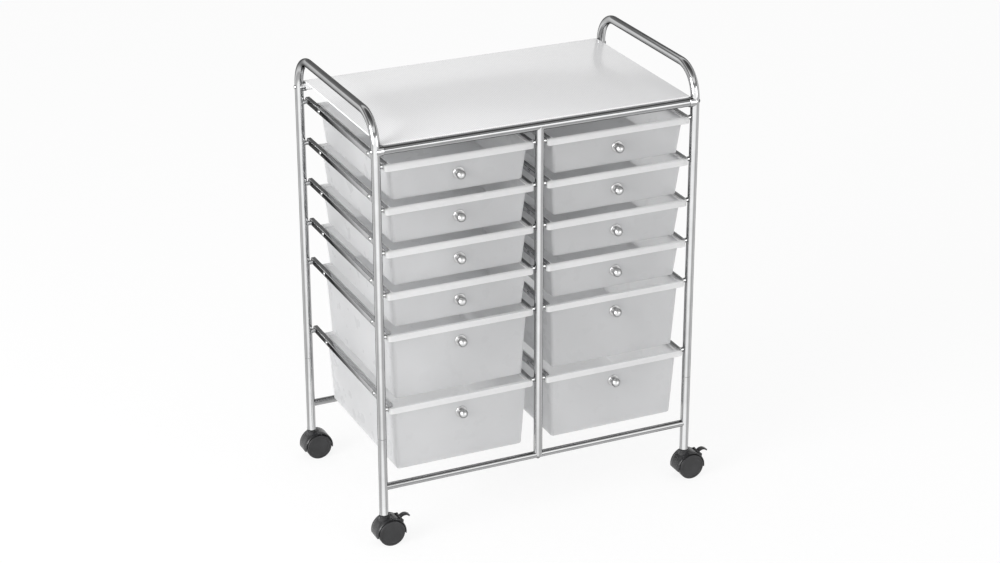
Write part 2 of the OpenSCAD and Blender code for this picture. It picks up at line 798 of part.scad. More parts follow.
caster_housing(-1, -1, true);  // caster_front_left_housing
caster_housing(1, -1, true);  // caster_front_right_housing
caster_housing(-1, 1, false);  // caster_rear_left_housing
caster_housing(1, 1, false);  // caster_rear_right_housing
caster_pins(-1, -1);  // caster_front_left_pins
caster_pins(1, -1);  // caster_front_right_pins
caster_pins(-1, 1);  // caster_rear_left_pins
caster_pins(1, 1);  // caster_rear_right_pins
caster_wheel(-1, -1, -1);  // caster_front_left_wheel_outer
caster_wheel(-1, -1, 1);  // caster_front_left_wheel_inner
caster_wheel(1, -1, -1);  // caster_front_right_wheel_outer
caster_wheel(1, -1, 1);  // caster_front_right_wheel_inner
caster_wheel(-1, 1, 1);  // caster_rear_left_wheel_outer
caster_wheel(-1, 1, -1);  // caster_rear_left_wheel_inner
caster_wheel(1, 1, 1);  // caster_rear_right_wheel_outer
caster_wheel(1, 1, -1);  // caster_rear_right_wheel_inner
caster_brake(-1);  // caster_front_left_brake
caster_brake(1);  // caster_front_right_brake

drawer(-1, 1);  // drawer_left_1
drawer(-1, 2);  // drawer_left_2
drawer(-1, 3);  // drawer_left_3
drawer(-1, 4);  // drawer_left_4
drawer(-1, 5);  // drawer_left_5
drawer(-1, 6);  // drawer_left_6
drawer(1, 1);  // drawer_right_1
drawer(1, 2);  // drawer_right_2
drawer(1, 3);  // drawer_right_3
drawer(1, 4);  // drawer_right_4
drawer(1, 5);  // drawer_right_5
drawer(1, 6);  // drawer_right_6
knob(-1, 1);  // knob_left_1
knob(-1, 2);  // knob_left_2
knob(-1, 3);  // knob_left_3
knob(-1, 4);  // knob_left_4
knob(-1, 5);  // knob_left_5
knob(-1, 6);  // knob_left_6
knob(1, 1);  // knob_right_1
knob(1, 2);  // knob_right_2
knob(1, 3);  // knob_right_3
knob(1, 4);  // knob_right_4
knob(1, 5);  // knob_right_5
knob(1, 6);  // knob_right_6
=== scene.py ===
import json
from math import asin, atan, atan2, cos, degrees, hypot, pi, radians, sin, sqrt, tau

import bmesh
import bpy
from mathutils import Matrix, Vector


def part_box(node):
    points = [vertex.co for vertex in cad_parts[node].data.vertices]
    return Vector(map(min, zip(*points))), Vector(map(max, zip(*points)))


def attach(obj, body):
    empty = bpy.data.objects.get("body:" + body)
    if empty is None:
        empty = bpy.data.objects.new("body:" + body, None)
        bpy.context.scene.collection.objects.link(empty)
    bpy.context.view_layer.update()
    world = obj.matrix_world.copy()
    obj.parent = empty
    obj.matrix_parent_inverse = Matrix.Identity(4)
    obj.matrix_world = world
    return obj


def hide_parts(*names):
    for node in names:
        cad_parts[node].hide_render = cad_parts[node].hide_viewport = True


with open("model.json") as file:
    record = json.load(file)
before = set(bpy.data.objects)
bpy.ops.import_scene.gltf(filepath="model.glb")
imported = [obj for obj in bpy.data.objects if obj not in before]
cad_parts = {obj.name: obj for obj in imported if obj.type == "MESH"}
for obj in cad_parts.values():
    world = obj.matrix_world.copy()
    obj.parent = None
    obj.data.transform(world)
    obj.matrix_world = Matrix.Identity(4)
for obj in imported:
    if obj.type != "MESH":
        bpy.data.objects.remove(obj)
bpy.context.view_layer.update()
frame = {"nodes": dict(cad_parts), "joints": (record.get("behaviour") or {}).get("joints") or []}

# A rolling utility cart in metres: chromed tubes, a panel top, twelve frosted drawers and four casters.
# Its front faces -Y and its left side -X. Sizes come from the frame's boxes and joints where these hold
# them, and are named values otherwise.

MM = 0.001
SIDES = {"left": -1, "right": 1}
ENDS = {"front": -1, "rear": 1}
LEVELS = (1, 2, 3, 4, 5, 6)
JOINT_AT = {joint["name"]: Vector(joint["pos_m"]) for joint in frame["joints"] if joint.get("pos_m")}


# Sizes read from the frame

hoop_low, hoop_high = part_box("hoop_left")
tube_r = (hoop_high.x - hoop_low.x) / 2
left_x = hoop_low.x + tube_r
right_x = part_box("hoop_right")[0].x + tube_r
middle_x = (left_x + right_x) / 2
half_y = hoop_high.y - tube_r
handle_z = hoop_high.z - tube_r
seam_z = hoop_low.z
leg_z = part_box("leg_front_left")[0].z
spigot_top_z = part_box("leg_front_left")[1].z

bar_low, bar_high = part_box("shelf_bar_front")
shelf_z = (bar_low.z + bar_high.z) / 2
bar_low, bar_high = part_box("bottom_bar_front")
bottom_bar_z = (bar_low.z + bar_high.z) / 2
bottom_bar_r = (bar_high.z - bar_low.z) / 2
panel_low, panel_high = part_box("top_panel")

rim_low, rim_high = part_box("drawer_left_1")
rim_length = rim_high.y - rim_low.y
wheel_low, wheel_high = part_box("caster_front_left_wheel_outer")
wheel_r = (wheel_high.z - wheel_low.z) / 2

POST_X = {"left": left_x, "right": right_x}
END_Y = {"front": -half_y, "rear": half_y}

# Sizes of the frame that the boxes don't hold

tube_wall = 1.2 * MM
tube_lip = 0.25 * MM
bend_r = 55 * MM
seam_chamfer = 0.5 * MM
spigot_gap = 0.05 * MM
leg_flare = 0.35 * MM
leg_flare_h = 2.2 * MM
panel_t = 3 * MM
panel_edge_r = 0.9 * MM
panel_corner_r = 3 * MM
panel_lip_t = 2 * MM
collar_r = 9.4 * MM
collar_length = 5 * MM
collar_gap = 0.3 * MM
screw_head_r = 3.8 * MM
screw_head_h = 2.4 * MM
recess_long = 2.1 * MM
recess_short = 0.45 * MM
recess_depth = 1.5 * MM

# Sizes of the runners. The rivet's shape gives shares of its radius and height, from its dimple outward.

web_gap = 5 * MM
channel_w = 8.4 * MM
channel_h = 12 * MM
channel_t = 1.2 * MM
channel_bend_r = 1.9 * MM
channel_edge = 0.45 * MM
spacer_r = 4.5 * MM
rivet_r = 4.5 * MM
rivet_h = 1.5 * MM
rivet_shape = [(0.28, 1.0), (0.34, 0.72), (0.44, 0.96), (0.66, 0.86), (0.88, 0.55), (1.0, 0.15)]
front_rivet_inset = 73 * MM
back_rivet_inset = 70 * MM
runner_front = 1.5 * MM
rim_play = 0.7 * MM

# Sizes of the drawers and knobs

lip_overhang = 5.5 * MM
lip_drop = 12 * MM
lip_end = 6.5 * MM
body_length = 340 * MM
rim_h = 8.6 * MM
rim_plate = 2.4 * MM
rim_skirt = 1.8 * MM
rim_step = 2.2 * MM
rim_top_r = 3.2 * MM
rim_inner_r = 1.2 * MM
rim_edge = 0.6 * MM
rim_corner_r = 6 * MM
body_step = 10.9 * MM
side_draft = 6.5 * MM
front_draft = 8 * MM
rear_draft = 9 * MM
body_corner_r = 6.5 * MM
body_shoulder = (22 * MM, 24 * MM)
foot_round = 2.5 * MM
foot_inset = 0.8 * foot_round
bin_wall = 2.2 * MM
bin_floor = 2.5 * MM

knob_drop = 37 * MM
ball_r = 8.2 * MM
ball_reach = 9.5 * MM
foot_r = 11 * MM
foot_t = 1.8 * MM
foot_bevel = 1.6 * MM
neck_r = 4.6 * MM
knob_screw_r = 1.95 * MM
knob_head_r = 4 * MM
knob_head_h = 2.4 * MM

# Sizes of the casters, with angles in degrees round the axle or the lever's pivot

wheel_edge_r = 2 * MM
wheel_cap_t = 2 * MM
wheel_groove = 0.6 * MM
axle_r = 3 * MM
axle_play = 0.06 * MM
hood_gap = 1.5 * MM
hood_t = 2.5 * MM
hood_drop = 1.2 * MM
hood_half_w = 17.5 * MM
hood_shoulder_r = 3 * MM
hood_groove = 0.35 * MM
hood_cut_rise = 15 * MM
hood_front_angle = -12
hood_back_angle = 192
hood_outer_r = wheel_r + hood_gap + hood_t
web_back_angle = 122
web_boss_r = 8 * MM
web_half = 5.2 * MM
head_margin = 1 * MM
head_groove = 0.5 * MM
column_half = 5.2 * MM
lever_boss_r = 3 * MM
lever_half = 11.4 * MM
lever_pin_r = 1.5 * MM
ear_half_w = 14 * MM
ear_t = 2 * MM
ear_rim = 0.3 * MM
ear_spread = 20
shoe_reach = 2.8 * MM
shoe_r = 1.5 * MM
shoe_turn = 60
tab_w = 11 * MM
tab_t = 2.6 * MM
tab_bead = 0.3 * MM
tab_curve_r = 11.5 * MM
tab_start_angle = 148
tab_curve_turn = 110
tab_bead_from = 0.86
tab_round_from = 0.93
tab_rib_from = 0.45
tab_rib_h = 0.45 * MM
tab_rib_count = 7
socket_bore = 4.06 * MM

# Angle in degrees from which an edge shows as a crease

CREASE = 32
BIN_CREASE = 40


# Mesh building

def on_circle(radius, angle):
    return radius * cos(angle), radius * sin(angle)


def circle(radius, steps):
    return [on_circle(radius, tau * i / steps) for i in range(steps)]


def arc(cx, cy, radius, a0, a1, steps):
    """Points on a circle from a0 to a1, in degrees, both ends included."""
    points = []
    for i in range(steps + 1):
        x, y = on_circle(radius, radians(a0 + (a1 - a0) * i / steps))
        points.append((cx + x, cy + y))
    return points


def rounding(steps):
    """Stations of a quarter turn, as the shares that it has come in and that it still has to rise."""
    return [(1 - cos(pi / 2 * i / steps), 1 - sin(pi / 2 * i / steps)) for i in range(steps + 1)]


def plan_outline(x0, y0, x1, y1, r, steps):
    """A rounded rectangle seen from above, anticlockwise."""
    return (arc(x1 - r, y0 + r, r, -90, 0, steps) + arc(x1 - r, y1 - r, r, 0, 90, steps)
            + arc(x0 + r, y1 - r, r, 90, 180, steps) + arc(x0 + r, y0 + r, r, 180, 270, steps))


def raised(outline, z):
    return [(x, y, z) for x, y in outline]


def disc_profile(r, half, edge):
    """Half section of a disc with chamfered edges, from -half to half along its axis."""
    return [(0, -half), (r - edge, -half), (r, -half + edge), (r, half - edge), (r - edge, half), (0, half)]


def saddle(radius, offset):
    """How far a tube's skin stands from its middle, at an offset to one side."""
    return sqrt(max(radius * radius - offset * offset, 0))


def at(x, y, z):
    return Matrix.Translation((x, y, z))


def turned(angle, axis):
    return Matrix.Rotation(radians(angle), 4, axis)


# Turns a shape along Z to lie along +X, with its own Y kept
ALONG_X = Matrix(((0, 0, 1, 0), (0, 1, 0, 0), (-1, 0, 0, 0), (0, 0, 0, 1)))

# Turns an outline (x, z), extruded along its own Z, so that it stands in the XZ plane
UPRIGHT = turned(90, "X")


def beside(x, y, z, sign):
    """Place of a shape along Z that is to lie along X from here, towards the sign's side."""
    return at(x, y, z) @ Matrix.Scale(sign, 4, (1, 0, 0)) @ ALONG_X


class Shape:
    """A mesh in the making, to which parts are added one by one."""

    def __init__(self):
        self.bm = bmesh.new()

    def ring(self, points, place):
        return [self.bm.verts.new(place @ Vector(p)) for p in points]

    def bridge(self, a, b):
        count = len(a)
        for i in range(count):
            j = (i + 1) % count
            self.bm.faces.new((a[i], a[j], b[j], b[i]))

    def loft(self, rings, place=Matrix(), wrap=False):
        """Skins closed rings of equal length. Wrap joins the last to the first, in place of end caps."""
        made = [self.ring(r, place) for r in rings]
        for a, b in zip(made, made[1:]):
            self.bridge(a, b)
        if wrap:
            self.bridge(made[-1], made[0])
        else:
            self.bm.faces.new(made[0])
            self.bm.faces.new(made[-1])

    def lathe(self, profile, place=Matrix(), steps=48):
        """Turns (radius, height) points about Z. Ends at radius 0 become poles, and others are joined."""
        inner = [p for p in profile if p[0] > 0]
        rings = [self.ring(raised(circle(r, steps), z), place) for r, z in inner]
        for a, b in zip(rings, rings[1:]):
            self.bridge(a, b)
        poles = 0
        for ring, (r, z) in ((rings[0], profile[0]), (rings[-1], profile[-1])):
            if r == 0:
                poles += 1
                tip = self.bm.verts.new(place @ Vector((0, 0, z)))
                for i in range(steps):
                    self.bm.faces.new((ring[i], ring[(i + 1) % steps], tip))
        if poles == 0:
            self.bridge(rings[-1], rings[0])

    def extrude(self, outline, depth0, depth1, place=Matrix(), edge=0.0):
        """Extrudes an outline (x, y) along Z, drawn in a little at both ends where an edge is given."""
        cx = sum(p[0] for p in outline) / len(outline)
        cy = sum(p[1] for p in outline) / len(outline)

        def drawn_in(z, inset):
            points = []
            for x, y in outline:
                length = hypot(x - cx, y - cy) or 1
                share = 1 - inset / length
                points.append((cx + (x - cx) * share, cy + (y - cy) * share, z))
            return points

        sides = [drawn_in(depth0 + edge, 0), drawn_in(depth1 - edge, 0)]
        if edge:
            sides = [drawn_in(depth0, edge)] + sides + [drawn_in(depth1, edge)]
        self.loft(sides, place)

    def mesh(self, name):
        bmesh.ops.recalc_face_normals(self.bm, faces=self.bm.faces)
        data = bpy.data.meshes.new(name)
        self.bm.to_mesh(data)
        self.bm.free()
        return data


def smooth(data, sharp):
    """Smooth shading with a crease at each edge that is sharper than an angle."""
    for polygon in data.polygons:
        polygon.use_smooth = True
    data.set_sharp_from_angle(angle=radians(sharp))


def loose(name, shape):
    made = bpy.data.objects.new(name, shape.mesh(name))
    bpy.context.scene.collection.objects.link(made)
    return made


def piece(name, shape, material, body, nodes, sharp=CREASE):
    """Makes a shown piece of a shape; it rides on a body and stands for the CAD nodes."""
    made = loose(name, shape)
    smooth(made.data, sharp)
    made.data.materials.append(material)
    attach(made, body)
    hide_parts(*nodes)
    return made


def cut(made, cutter, material):
    """Takes the cutter's volume out of a piece and deletes the cutter."""
    modifier = made.modifiers.new("cut", "BOOLEAN")
    modifier.operation = "DIFFERENCE"
    modifier.solver = "EXACT"
    modifier.object = cutter
    bpy.context.view_layer.update()
    graph = bpy.context.evaluated_depsgraph_get()
    result = bpy.data.meshes.new_from_object(made.evaluated_get(graph))
    made.modifiers.remove(modifier)
    made.data = result
    bpy.data.objects.remove(cutter)
    smooth(result, CREASE)
    result.materials.clear()
    result.materials.append(material)


# Materials

class Tree:
    """Short calls for the nodes of a material or the world."""

    def __init__(self, owner):
        owner.use_nodes = True
        self.nodes = owner.node_tree.nodes
        self.links = owner.node_tree.links

    def add(self, kind, **values):
        """A new node. A value goes to the input of its name, with spaces for _, or else to the node."""
        node = self.nodes.new(kind)
        for key, value in values.items():
            socket = key.replace("_", " ")
            if socket in node.inputs:
                node.inputs[socket].default_value = value
            else:
                setattr(node, key, value)
        return node

    def link(self, a, b):
        self.links.new(a, b)

    def mixed(self, first, second, share):
        mix = self.add("ShaderNodeMixShader", Fac=share)
        self.link(first.outputs[0], mix.inputs[1])
        self.link(second.outputs[0], mix.inputs[2])
        return mix

    def show(self, shader, output="Material Output"):
        self.link(shader.outputs[0], self.nodes[output].inputs["Surface"])


class Surface(Tree):
    """A material with its main shader and the object's own coordinates."""

    def __init__(self, name):
        self.material = bpy.data.materials.new(name)
        super().__init__(self.material)
        self.shader = self.nodes["Principled BSDF"]
        self.coords = self.add("ShaderNodeTexCoord").outputs["Object"]

    def set(self, **values):
        for key, value in values.items():
            self.shader.inputs[key.replace("_", " ")].default_value = value

    def noise(self, scale, detail=3.0, stretch=(1, 1, 1)):
        mapping = self.add("ShaderNodeMapping", Scale=stretch)
        self.link(self.coords, mapping.inputs["Vector"])
        texture = self.add("ShaderNodeTexNoise", Scale=scale, Detail=detail)
        self.link(mapping.outputs["Vector"], texture.inputs["Vector"])
        return texture.outputs["Fac"]

    def spread(self, value, low, high, start=0.35, end=0.65):
        """Maps a value from start..end to low..high."""
        node = self.add("ShaderNodeMapRange", From_Min=start, From_Max=end, To_Min=low, To_Max=high)
        self.link(value, node.inputs["Value"])
        return node.outputs["Result"]

    def shades(self, value, dark, light, start=0.35, end=0.65):
        """Colours a value from dark at start to light at end, and returns that colour."""
        ramp = self.add("ShaderNodeValToRGB")
        marks = ramp.color_ramp.elements
        for mark, where, colour in ((marks[0], start, dark), (marks[1], end, light)):
            mark.position = where
            mark.color = (*colour, 1)
        self.link(value, ramp.inputs["Fac"])
        self.link(ramp.outputs["Color"], self.shader.inputs["Base Color"])
        return ramp.outputs["Color"]

    def paint_reflection_bands(self, colour, stops):
        """Darkens a colour from face on to edge on by the greys of the stops: painted reflection bands, a
        painted highlight and painted shade.
        """
        facing = self.add("ShaderNodeLayerWeight", Blend=0.5)
        edge = self.add("ShaderNodeValToRGB")
        set_greys(edge, stops)
        self.link(facing.outputs["Facing"], edge.inputs["Fac"])
        # Painted reflection: greys that go with the viewing angle are multiplied into the colour
        product = self.add("ShaderNodeMix", data_type="RGBA", blend_type="MULTIPLY", Factor=1.0)
        self.link(colour, product.inputs["A"])
        self.link(edge.outputs["Color"], product.inputs["B"])
        self.link(product.outputs["Result"], self.shader.inputs["Base Color"])

    def rough(self, value):
        self.link(value, self.shader.inputs["Roughness"])

    def bump(self, value, strength, distance):
        node = self.add("ShaderNodeBump", Strength=strength, Distance=distance)
        self.link(value, node.inputs["Height"])
        self.link(node.outputs["Normal"], self.shader.inputs["Normal"])


def set_greys(ramp, stops):
    """Sets a new ramp's greys from (place, grey) pairs, which run from place 0 to place 1."""
    marks = ramp.color_ramp.elements
    for where, grey in stops[1:-1]:
        marks.new(where).color = (grey, grey, grey, 1)
    for mark, (_, grey) in ((marks[0], stops[0]), (marks[-1], stops[-1])):
        mark.color = (grey, grey, grey, 1)


# Painted reflection bands of plating, as greys from face on (0) to edge on (1): upright tubes and runners,
# level bars, and knobs
TUBE_PAINTED_BANDS = [(0.0, 1.0), (0.10, 0.90), (0.16, 0.48), (0.34, 0.40), (0.46, 0.74), (0.58, 0.66), (0.80, 0.16),
              (1.0, 0.06)]
BAR_PAINTED_BANDS = [(0.0, 0.40), (0.20, 0.34), (0.42, 0.56), (0.60, 0.50), (0.80, 0.16), (1.0, 0.06)]
SATIN_PAINTED_BANDS = [(0.0, 0.90), (0.30, 0.62), (0.60, 0.50), (0.85, 0.36), (1.0, 0.20)]


def chrome_material(name, dark, light, gloss, streaks, stops):
    """Plated steel: cloudy plating darkened by painted reflection bands, faint polishing streaks, and
    roughness between the two gloss values.
    """
    nodes = Surface(name)
    nodes.set(Metallic=1.0, Specular_Tint=(0.25, 0.25, 0.25, 1))
    # The plating's colour carries painted reflection bands: a painted highlight face on, painted shade
    # towards the edges
    nodes.paint_reflection_bands(nodes.shades(nodes.noise(26, 4), dark, light), stops)
    nodes.rough(nodes.spread(nodes.noise(90, 5, streaks), *gloss))
    nodes.bump(nodes.noise(420, 3, streaks), 0.08, 0.0002)
    return nodes.material


def grid_lines(nodes, pitch):
    """A value that rises to 1 on the lines of a square grid."""
    split = nodes.add("ShaderNodeSeparateXYZ")
    nodes.link(nodes.coords, split.inputs["Vector"])
    grid = nodes.add("ShaderNodeMath", operation="MAXIMUM")
    for i, axis in enumerate(("X", "Y")):
        phase = nodes.add("ShaderNodeMath", operation="MULTIPLY")
        phase.inputs[1].default_value = tau / pitch
        nodes.link(split.outputs[axis], phase.inputs[0])
        wave = nodes.add("ShaderNodeMath", operation="COSINE")
        nodes.link(phase.outputs[0], wave.inputs[0])
        nodes.link(nodes.spread(wave.outputs[0], 0.0, 1.0, 0.55, 1.0), grid.inputs[i])
    return grid.outputs[0]


def panel_material():
    """Glossy white board with a very fine embossed grid."""
    nodes = Surface("panel_white")
    nodes.set(IOR=1.5, Coat_Weight=0.35, Coat_Roughness=0.06)
    nodes.rough(nodes.spread(nodes.noise(60, 4), 0.16, 0.24))
    grid = grid_lines(nodes, 4 * MM)
    nodes.shades(grid, (0.88, 0.88, 0.885), (0.72, 0.72, 0.73), 0.0, 1.0)
    nodes.bump(grid, 0.35, 0.00015)
    return nodes.material


def frosted_material(name, dark, light, scattered, clear_share):
    """Milky clear plastic: it scatters light through its walls, and its skin is softly matt."""
    nodes = Surface(name)
    nodes.set(IOR=1.45)
    nodes.shades(nodes.noise(7, 3), dark, light)
    nodes.rough(nodes.spread(nodes.noise(35, 4), 0.26, 0.40))
    nodes.bump(nodes.noise(900, 2), 0.10, 0.0001)
    scatter = nodes.add("ShaderNodeBsdfTranslucent", Color=(*scattered, 1))
    clear = nodes.add("ShaderNodeBsdfTransparent", Color=(0.96, 0.965, 0.965, 1))
    body = nodes.mixed(nodes.shader, scatter, 0.60)
    nodes.show(nodes.mixed(body, clear, clear_share))
    return nodes.material


def black_material(name, dark, light, gloss, grain):
    """Moulded black plastic with a fine grain, and roughness between the two gloss values."""
    nodes = Surface(name)
    nodes.set(IOR=1.48)
    nodes.shades(nodes.noise(40, 4), dark, light)
    nodes.rough(nodes.spread(nodes.noise(110, 4), *gloss))
    nodes.bump(nodes.noise(grain, 3), 0.18, 0.00015)
    return nodes.material


CHROME = chrome_material(
    "chrome", (0.84, 0.845, 0.85), (0.92, 0.925, 0.93), (0.05, 0.10), (1, 1, 0.15), TUBE_PAINTED_BANDS)
BAR_CHROME = chrome_material(
    "bar_chrome", (0.84, 0.845, 0.85), (0.92, 0.925, 0.93), (0.06, 0.12), (0.15, 1, 1), BAR_PAINTED_BANDS)
RUNNER_CHROME = chrome_material(
    "runner_chrome", (0.80, 0.805, 0.81), (0.90, 0.905, 0.91), (0.07, 0.14), (1, 0.1, 1), TUBE_PAINTED_BANDS)
KNOB_METAL = chrome_material(
    "satin_chrome", (0.86, 0.86, 0.86), (0.92, 0.92, 0.92), (0.32, 0.40), (1, 1, 1), SATIN_PAINTED_BANDS)
STEEL = chrome_material(
    "zinc_steel", (0.36, 0.36, 0.35), (0.46, 0.46, 0.45), (0.28, 0.42), (1, 1, 1), SATIN_PAINTED_BANDS)
PANEL = panel_material()
FROSTED = frosted_material(
    "frosted_plastic", (0.78, 0.78, 0.785), (0.86, 0.86, 0.865), (0.88, 0.88, 0.885), 0.30)
# A brighter, less clear copy of the drawers' plastic, which paints light on the sides of rims and lips
RIM_PAINTED_LIGHT = frosted_material(
    "frosted_rim_painted_light", (0.90, 0.90, 0.90), (0.95, 0.95, 0.95), (0.96, 0.96, 0.96), 0.08)
HOUSING_BLACK = black_material(
    "housing_black", (0.018, 0.018, 0.019), (0.030, 0.030, 0.032), (0.22, 0.32), 1400)
WHEEL_BLACK = black_material(
    "wheel_black", (0.018, 0.018, 0.019), (0.028, 0.028, 0.030), (0.38, 0.52), 900)


# Frame

def add_bent_tube(shape, path, steps=32):
    """A tube along (point, normal) pairs: its outside with rounded ends, then its inside on the way back."""
    last = len(path) - 1
    stations = []
    for i, (point, normal) in enumerate(path):
        stations.append((point, normal, tube_r - tube_lip if i in (0, last) else tube_r))
    for point, normal in reversed(path):
        stations.append((point, normal, tube_r - tube_wall))
    side = Vector((1, 0, 0))
    rings = []
    for point, normal, radius in stations:
        rings.append([point + side * across + normal * along for across, along in circle(radius, steps)])
    shape.loft(rings, wrap=True)


def hoop_path(x):
    """Centre line of a side hoop, from the rear seam over the handle to the front seam."""
    straight_y = half_y - bend_r
    straight_z = handle_z - bend_r
    steps = 18
    up = Vector((0, 0, 1))
    back = Vector((0, 1, 0))
    path = [(Vector((x, half_y, seam_z)), back), (Vector((x, half_y, seam_z + tube_lip)), back)]
    for bend_y, quarter in ((straight_y, 0), (-straight_y, 1)):
        for i in range(steps + 1):
            a = pi / 2 * (quarter + i / steps)
            normal = back * cos(a) + up * sin(a)
            path.append((Vector((x, bend_y, straight_z)) + normal * bend_r, normal))
    path += [(Vector((x, -half_y, seam_z + tube_lip)), -back), (Vector((x, -half_y, seam_z)), -back)]
    return path


def make_hoops():
    for side in SIDES:
        shape = Shape()
        add_bent_tube(shape, hoop_path(POST_X[side]))
        piece("side_hoop_" + side, shape, CHROME, "frame", ["hoop_" + side])


def leg_profile():
    """Half section of a leg and its spigot, from the outer lower edge upward and back down inside."""
    bore = tube_r - tube_wall
    flared_r = tube_r + leg_flare
    flare_z = leg_z + leg_flare_h
    spigot_r = bore - spigot_gap
    edge = 0.4 * MM
    return [(flared_r - edge, leg_z), (flared_r, leg_z + edge), (flared_r, flare_z),
            (tube_r, flare_z + 1 * MM), (tube_r, seam_z - seam_chamfer), (tube_r - seam_chamfer, seam_z),
            (spigot_r, seam_z), (spigot_r, spigot_top_z - edge), (bore - edge, spigot_top_z),
            (bore - tube_wall, spigot_top_z), (bore - tube_wall, seam_z), (bore, seam_z - 2 * MM),
            (bore, leg_z)]


def make_legs():
    for end in ENDS:
        for side in SIDES:
            name = "%s_%s" % (end, side)
            shape = Shape()
            shape.lathe(leg_profile(), at(POST_X[side], END_Y[end], 0))
            piece("leg_tube_" + name, shape, CHROME, "frame", ["leg_" + name])


def add_saddle_tube(shape, place, r, low, high, steps=40):
    """A straight tube along Z whose ends follow low(offset) and high(offset) from its own Y."""
    rings = []
    for radius, end in ((r, low), (r, high), (r - tube_wall, high), (r - tube_wall, low)):
        rings.append([(x, y, end(y)) for x, y in circle(radius, steps)])
    shape.loft(rings, place, wrap=True)


def make_bars():
    span = right_x - left_x
    for end in ENDS:
        for name, r, z in (("shelf_bar", tube_r, shelf_z), ("bottom_bar", bottom_bar_r, bottom_bar_z)):
            shape = Shape()
            add_saddle_tube(shape, beside(left_x, END_Y[end], z, 1), r,
                            lambda offset: saddle(tube_r, offset),
                            lambda offset: span - saddle(tube_r, offset))
            node = "%s_%s" % (name, end)
            piece("%s_tube_%s" % (name, end), shape, BAR_CHROME, "frame", [node])
        shape = Shape()
        add_saddle_tube(shape, at(middle_x, END_Y[end], 0), tube_r,
                        lambda offset: bottom_bar_z + saddle(bottom_bar_r, offset),
                        lambda offset: shelf_z - saddle(tube_r, offset))
        piece("centre_post_tube_" + end, shape, CHROME, "frame", ["post_centre_" + end])


def screw_places():
    """Shelf-height screws on the posts' outer sides, then one under each bottom bar."""
    places = []
    for side, sign in SIDES.items():
        for end in ENDS:
            skin = at(POST_X[side] + sign * tube_r, END_Y[end], shelf_z)
            places.append(skin @ turned(sign * 90, "Y"))
    for end in ENDS:
        places.append(at(middle_x, END_Y[end], bottom_bar_z - bottom_bar_r) @ turned(180, "X"))
    return places


def screw_head_profile():
    """A domed head with a rounded skirt, from z = 0 up."""
    dome_r = (screw_head_r ** 2 + screw_head_h ** 2) / (2 * screw_head_h)
    rim_angle = asin(0.97 * screw_head_r / dome_r)
    profile = [(0, 0), (screw_head_r * 0.98, 0), (screw_head_r, 0.25 * MM)]
    steps = 8
    for i in range(1, steps):
        a = rim_angle * (1 - i / steps)
        profile.append((dome_r * sin(a), screw_head_h - dome_r + dome_r * cos(a)))
    return profile + [(0, screw_head_h)]


def recess_cutter(places):
    """One closed cross per screw head, narrower at its foot."""
    quarter = [(recess_long, -recess_short), (recess_long, recess_short), (recess_short, recess_short)]
    outline = []
    for _ in range(4):
        outline += quarter
        quarter = [(-y, x) for x, y in quarter]
    shape = Shape()
    for place in places:
        rings = []
        for share, z in ((0.45, screw_head_h - recess_depth), (1.0, screw_head_h + 0.3 * MM)):
            rings.append([(x * share, y * share, z) for x, y in outline])
        shape.loft(rings, place)
    return loose("recess_cutter", shape)


def make_screws():
    heads = Shape()
    places = screw_places()
    for place in places:
        heads.lathe(screw_head_profile(), place, 32)
    made = piece("frame_screws", heads, CHROME, "frame", ["frame_fasteners"])
    cut(made, recess_cutter(places), CHROME)


def make_collars():
    """Short collars where the shelf bars meet the corner posts, saddled to the posts."""
    collars = Shape()
    start = tube_r + collar_length
    edge = 0.5 * MM
    for side, sign in SIDES.items():
        for end in ENDS:
            rings = []
            for radius in (tube_r, collar_r):
                rings.append([(x, y, saddle(tube_r, y)) for x, y in circle(radius, 40)])
            for radius, height in ((collar_r, start - edge), (collar_r - edge, start), (tube_r, start)):
                rings.append(raised(circle(radius, 40), height))
            collars.loft(rings, beside(POST_X[side], END_Y[end], shelf_z, -sign), wrap=True)
    piece("bar_collars", collars, CHROME, "frame", ["frame_fasteners"])


# Top panel

def panel_section(bottom, top):
    """Inset and height of the board's rings: its rounded lower edge, then the same upside down."""
    softened = 0.29 * panel_edge_r
    lower = [(panel_edge_r, bottom), (softened, bottom + softened), (0, bottom + panel_edge_r)]
    return lower + [(inset, top + bottom - z) for inset, z in reversed(lower)]


def notch_cutter():
    """Round the corner collars, so that the board's corners clear them."""
    shape = Shape()
    reach = tube_r + collar_length + collar_gap
    r = collar_r + collar_gap
    for side, sign in SIDES.items():
        for end in ENDS:
            place = beside(POST_X[side], END_Y[end], shelf_z, -sign)
            shape.lathe([(0, 0), (r, 0), (r, reach), (0, reach)], place, 48)
    return loose("notch_cutter", shape)


def make_panel():
    top = panel_high.z
    bottom = top - panel_t
    board = Shape()
    rings = []
    for inset, z in panel_section(bottom, top):
        outline = plan_outline(panel_low.x + inset, panel_low.y + inset, panel_high.x - inset,
                               panel_high.y - inset, panel_corner_r - inset, 5)
        rings.append(raised(outline, z))
    board.loft(rings)
    lip_y = half_y - tube_r
    for y in (-lip_y, lip_y - panel_lip_t):
        outline = plan_outline(panel_low.x, y, panel_high.x, y + panel_lip_t, 0.6 * MM, 3)
        board.loft([raised(outline, panel_low.z), raised(outline, bottom + 0.1 * MM)])
    made = piece("top_board", board, PANEL, "frame", ["top_panel"])
    cut(made, notch_cutter(), PANEL)


# Runners

